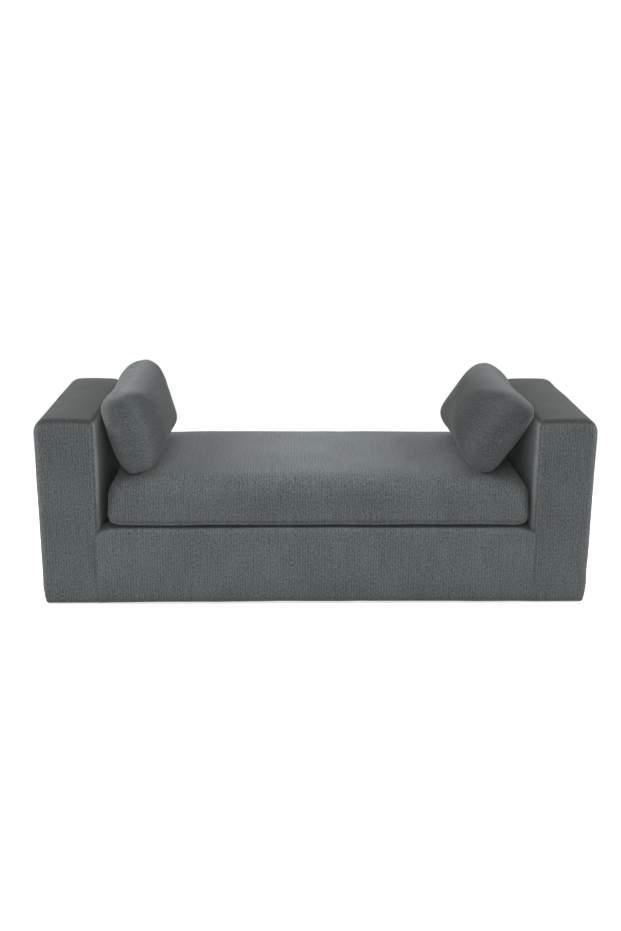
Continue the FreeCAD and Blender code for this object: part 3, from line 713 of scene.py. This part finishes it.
def make_base(name, low_y, high_y, slot, seed, *nodes):
    """One part of the seat box's padding from arm to arm: its front, its deck or its back.

    The front and the back reach down to the floor line. The deck lies between them.
    """
    off_middle = 0.1
    outside = abs(low_y + high_y) > off_middle
    low = (-BASE_HALF_LONG, low_y, FLOOR_GAP if outside else DECK_UNDERSIDE)
    high = (BASE_HALF_LONG, high_y, DECK_TOP)
    piece = soft_block(name, low, high, spacing=0.016)
    raw = points_of(piece)
    seam = (np.abs(np.abs(raw[:, 0]) - BASE_HALF_LONG) < SAME_PLACE).astype(float)
    if outside:
        seam = np.maximum(seam, HEM * second_row(raw))

    # Only the edges that show are rounded. The rest meet another part of the padding.
    shown, hidden, foot = 0.009, 0.002, 0.003
    front = shown if low_y < -BASE_PAD_IN else hidden
    back = shown if high_y > BASE_PAD_IN else hidden
    if not outside:
        front = back = hidden
    rim = np.full(len(raw), hidden)
    points = upholstered(raw, low, high, 0, (foot, foot, front, back), rim, seam_turn=0.5)
    if outside:
        turn_under(points, raw, low, high)

    # The top falls off towards each arm.
    fall_from, fall_width, fall = 0.702, 0.055, 0.013
    run = np.clip((np.abs(points[:, 0]) - fall_from) / fall_width, 0, 1) ** 2
    points[:, 2] -= fall * run * smooth_step(points[:, 2], 0.2, DECK_TOP)
    if outside:
        # The bottom edge arches up between the arms, and the outer strip of the top lies lower,
        # so that the joint under the seat cushion is dark.
        arch_height, drop_height = 0.004, 0.004
        arch = arch_height * (1 - (points[:, 0] / BASE_HALF_LONG) ** 2)
        points[:, 2] += arch * smooth_step(-points[:, 2], -0.030, -0.002)
        drop = drop_height * smooth_step(np.abs(points[:, 1]), 0.28, 0.32)
        points[:, 2] -= drop * smooth_step(points[:, 2], 0.2, DECK_TOP)
    set_points(piece, points)
    keep_at_points(piece, "seam", seam)
    if outside:
        # Only the upright face swells, clear of the floor, the deck and the arms.
        hold = smooth_step(points[:, 2], 0.03, 0.10) * smooth_step(-points[:, 2], -0.27, -0.22)
        hold *= smooth_step(-np.abs(points[:, 0]), -0.757, -0.70)
        plump(piece, pressure=2.0, reach=0.003, hold=hold)
    subdivide_once(piece)
    points = points_of(piece)
    outer = smooth_step(np.abs(points[:, 1]), 0.27, 0.32)
    push_out(piece, two_ripples(points, seed, (3.5, 0.0020), (14.0, 0.0007)) * outer)

    # Painted shade: the face's colour is scaled down all over, and more near the floor.
    face_light_scale, floor_shade = 0.90, 0.1
    keep_at_points(piece, "painted_light", face_light_scale - floor_shade * smooth_step(-points[:, 2], -0.12, 0.0))

    def place(corners, middles):
        """Ribs run up the face, and from front to back over the deck."""
        upright = np.abs(middles[:, 1]) > HALF_DEPTH - 0.010
        deck_start = 0.6
        v = np.where(upright, corners[:, 2], corners[:, 1] + deck_start)
        return np.stack((corners[:, 0], v), 1)

    lay_weave(piece, place)
    cover(piece, "frame_and_arms", slot, 1.0, *nodes)


def make_seat_cushion():
    """The bench cushion: one long wrap over the front, top and back, with an end panel each side.

    It lies a little to the right of the middle, as in the photograph.
    """
    middle, half_long, half_deep, bottom, top = 0.009, 0.739, 0.345, 0.2850, 0.4490
    low = (-half_long, -half_deep, bottom)
    high = (half_long, half_deep, top)
    piece = soft_block("seat_cushion", low, high, spacing=0.0145)
    raw = points_of(piece)
    up = (raw[:, 2] - bottom) / (top - bottom)
    edge = half_long - np.abs(raw[:, 0])
    from_faces = np.minimum(raw[:, 2] - bottom, top - raw[:, 2])
    outline = np.minimum(half_deep - np.abs(raw[:, 1]), from_faces)
    seam = ((edge < SAME_PLACE) & (outline < SAME_PLACE)).astype(float)
    seam = np.maximum(seam, BOTTOM_SEAM * second_row(raw))

    # The ends are rounded more towards the top, and the front turns over in a waterfall.
    bottom_rim, rim_gain = 0.020, 0.044
    rim = bottom_rim + rim_gain * smooth_step(up, 0.1, 0.9)
    radii = (0.008, 0.008, 0.060, 0.036)
    points = upholstered(raw, low, high, 0, radii, rim, seam_turn=0.35)
    across = points[:, 1] / half_deep
    along = points[:, 0] / half_long

    # The top is crowned, and the long faces are drawn in along the middle.
    crown_height, waist = 0.022, 0.008
    crown = (1 - np.abs(across) ** 8) * (1 - np.abs(along) ** 6)
    points[:, 2] += crown_height * crown * smooth_step(up, 0.3, 1.0)
    points[:, 1] *= 1 - waist * (1 - along ** 2) * smooth_step(np.abs(across), 0.5, 1)

    # The bottom edge lifts off the deck in slow waves, and most at the corners.
    wave_height, wave_share, corner_lift = 0.0034, 1.4, 0.011
    at_rim = smooth_step(np.maximum(np.abs(across), np.abs(along) ** 4), 0.86, 1.0)
    wave = wave_height * (1 + wave_share * ripple(points * np.array([1, 0.2, 0]), 4.5, 13))
    corner = corner_lift * smooth_step(np.abs(along), 0.93, 1.0)
    low_down = smooth_step(-points[:, 2], -(bottom + 0.05), -bottom)
    points[:, 2] += (wave + corner) * at_rim * low_down
    points[:, 0] += middle
    set_points(piece, points)
    keep_at_points(piece, "seam", seam)
    hold = smooth_step(points[:, 2], bottom + 0.012, bottom + 0.06)
    plump(piece, pressure=3.0, reach=0.006, hold=hold)
    subdivide_once(piece)
    points = points_of(piece)
    free = smooth_step(points[:, 2], bottom + 0.010, bottom + 0.04)
    push_out(piece, two_ripples(points, 11, (3.0, 0.0028), (11.0, 0.0010)) * free)
    points = points_of(piece)
    points[:, 2] = np.maximum(points[:, 2], bottom)
    set_points(piece, points)
    pinch_seams(piece)
    recess(piece, frame["nodes"]["seat_cushion_zip"])

    # Painted light and shade: the cushion's colour is scaled down all over, with painted shade on
    # the top at the front that gives way to painted light towards the back.
    face_light_scale, top_shade, back_light = 0.86, 0.09, 0.11
    upward = smooth_step(normals_of(piece)[:, 2], 0.1, 0.9)
    backward = smooth_step(points_of(piece)[:, 1], -0.3, 0.3)
    keep_at_points(piece, "painted_light", face_light_scale - upward * (top_shade - back_light * backward))

    def place(corners, middles):
        """Ribs run up the faces and the ends, and from front to back over the top."""
        ends = np.abs(middles[:, 0] - middle) > half_long - 0.014
        faces = np.abs(middles[:, 1]) > half_deep - 0.026
        top_start = 0.9
        u = np.where(ends, corners[:, 1], corners[:, 0])
        v = np.where(ends | faces, corners[:, 2], np.abs(corners[:, 1]) + top_start)
        return np.stack((u, v), 1)

    lay_weave(piece, place)
    cover(piece, "seat_cushion", "chenille_upholstery", 0.9, "seat_cushion_cover",
          "seat_cushion_wrap", "seat_cushion_core")
    return piece


def make_pillow(name, side, size, place_at, angles, seam_shift, seed, seat, arm, end_light_scale,
                face_light_scale):
    """One loose pillow: two panels sewn round the edge, which swell into two cheeks.

    side is 1 for the right pillow and -1 for the left one. size is its length, height and
    thickness, and angles are its turn, lean and roll in degrees. seam_shift is how far the seam
    lies towards the arm. Its colour is scaled by end_light_scale, but by face_light_scale on the
    face to the divan's middle: painted light and shade, with painted shade on that face.
    """
    half_long, half_high, half_thick = (length / 2 for length in size)
    low = (-half_thick, -half_long, -half_high)
    high = (half_thick, half_long, half_high)
    piece = soft_block(name, low, high, spacing=0.0102)
    raw = points_of(piece)
    through, along, up = (raw[:, axis] / high[axis] for axis in range(3))
    ring = np.maximum(np.abs(along), np.abs(up))
    on_edge = ring > 1 - SAME_PLACE
    seam = (on_edge & (np.abs(through) < SAME_PLACE)).astype(float)

    # A cheek's profile: its depth at each share of the way out to the seam. The block's faces
    # hold it out to wall_scale, and its sides hold the rest.
    wall_scale, fullness = 0.93, 0.44
    wall_depth = (1 - wall_scale ** 2) ** fullness
    scale = np.where(on_edge, 1.0, ring * wall_scale)
    cheek = np.sign(through) * (1 - scale ** 2) ** fullness
    depth = np.where(on_edge, through * wall_depth, cheek)
    scale = np.where(on_edge, np.sqrt(1 - np.abs(depth) ** (1 / fullness)), scale)

    # The outline: a square with rounded corners, and sides that are pulled in between them.
    corner_power, edge_pull = 9.0, 0.013
    ring_along = along / np.maximum(ring, NO_LESS)
    ring_up = up / np.maximum(ring, NO_LESS)
    powers = np.abs(ring_along) ** corner_power + np.abs(ring_up) ** corner_power
    shrink = np.where(ring > NO_LESS, powers ** (-1 / corner_power), 0)
    ring_along = ring_along * shrink
    ring_up = ring_up * shrink
    y = ring_along * (half_long - edge_pull * (1 - ring_up ** 2)) * scale
    z = ring_up * (half_high - edge_pull * (1 - ring_along ** 2)) * scale
    x = side * seam_shift + depth * (half_thick - np.sign(depth) * side * seam_shift)
    set_points(piece, np.stack((x, y, z), 1))
    keep_at_points(piece, "seam", seam)
    plump(piece, pressure=3.0, reach=0.005, hold=1 - 0.7 * seam)
    subdivide_once(piece)

    # The filling is uneven, and the seam stands up as a lip with puckers beside it.
    pucker_height, pucker_width, pucker_loss, lip_height = 0.0066, 0.022, 0.35, 0.0038
    points = points_of(piece)
    weight = seam_of(piece)
    swell = two_ripples(points, seed, (8.0, 0.0030), (26.0, 0.0007))
    widths_off = (points[:, 0] - side * seam_shift) / pucker_width
    near_seam = np.exp(-widths_off ** 2) * (1 - weight)
    rim_reach = np.maximum(np.abs(points[:, 1]) / half_long, np.abs(points[:, 2]) / half_high)
    near_seam *= smooth_step(rim_reach, 0.80, 0.95)
    pucker = ripple(points * np.array([0.35, 1, 1]), 34.0, seed + 2) - pucker_loss
    swell += pucker_height * pucker * near_seam
    push_out(piece, swell + lip_height * weight ** 2)

    def place(corners, middles):
        """Ribs run along the pillow. The map follows each cheek round its edge to the seam."""
        other_cheek = 0.7
        round_from = 0.6
        from_seam = corners[:, 0] - side * seam_shift
        cheek_depth = np.where(
            from_seam * side > 0, half_thick - seam_shift, half_thick + seam_shift)
        round_edge = cheek_depth - np.abs(from_seam)
        u = corners[:, 2] + np.sign(middles[:, 2]) * round_edge * smooth_step(
            np.abs(corners[:, 2]), round_from * half_high, half_high)
        v = corners[:, 1] + np.sign(middles[:, 1]) * round_edge * smooth_step(
            np.abs(corners[:, 1]), round_from * half_long, half_long)
        v = v + other_cheek * np.sign(middles[:, 0] - side * seam_shift)
        return np.stack((u, v), 1)

    lay_weave(piece, place)
    # Painted light and shade: the pillow's colour is scaled down, with painted shade on the face
    # to the divan's middle.
    facing = smooth_step(-normals_of(piece)[:, 0] * side, 0.2, 0.9)
    end_on = smooth_step(-normals_of(piece)[:, 1], 0.25, 0.8)
    keep_at_points(piece, "painted_light", end_light_scale + (face_light_scale - end_light_scale) * facing * (1 - end_on))

    turn = Euler([math.radians(angle) for angle in reversed(angles)], "XYZ")
    piece.data.transform(Matrix.Translation(place_at) @ turn.to_matrix().to_4x4())
    recess(piece, frame["nodes"][f"{name}_zip"])
    rest_against(piece, seat, (0, 0, -1))
    rest_against(piece, arm, (side, 0, 0))
    cover(piece, name, "chenille_upholstery", 0.85, f"{name}_cover", f"{name}_insert")


# The scene

set_up_camera()
set_up_floor()
set_up_world()
for name, (place, aim, size, power) in SOFTBOXES.items():
    add_softbox(name, place, aim, size, power)
bpy.context.scene.view_settings.view_transform = "Standard"

finishes = other_finishes()
finishes["chenille_upholstery"] = ribbed_chenille()
slots = {row["node"]: row["material_slot"] for row in frame["record"]["subparts"]}
for name, node in frame["nodes"].items():
    node.data.materials.clear()
    node.data.materials.append(finishes[slots[name]])

right_arm = make_arm("right_arm", 1, seed=3)
left_arm = make_arm("left_arm", -1, seed=5)
make_base("seat_box_front", -HALF_DEPTH, -BASE_PAD_IN, "chenille_upholstery", 7,
          "base_cover_front", "base_foam_front")
make_base("seat_box_back", BASE_PAD_IN, HALF_DEPTH, "chenille_upholstery", 8,
          "base_cover_back", "base_foam_back")
make_base("seat_box_deck", -DECK_HALF_DEEP, DECK_HALF_DEEP, "deck_cloth", 9,
          "deck_cloth", "deck_pad")
seat = make_seat_cushion()
make_pillow("left_pillow", -1, size=(0.583, 0.309, 0.219), place_at=(-0.6373, -0.0431, 0.6191),
            angles=(-3.0, -16.3, 2.9), seam_shift=0.002, seed=21, seat=seat, arm=left_arm,
            end_light_scale=0.72, face_light_scale=0.40)
make_pillow("right_pillow", 1, size=(0.579, 0.312, 0.239), place_at=(0.6178, -0.0436, 0.6218),
            angles=(3.1, 33.1, 2.6), seam_shift=0.024, seed=31, seat=seat, arm=right_arm,
            end_light_scale=0.57, face_light_scale=0.33)
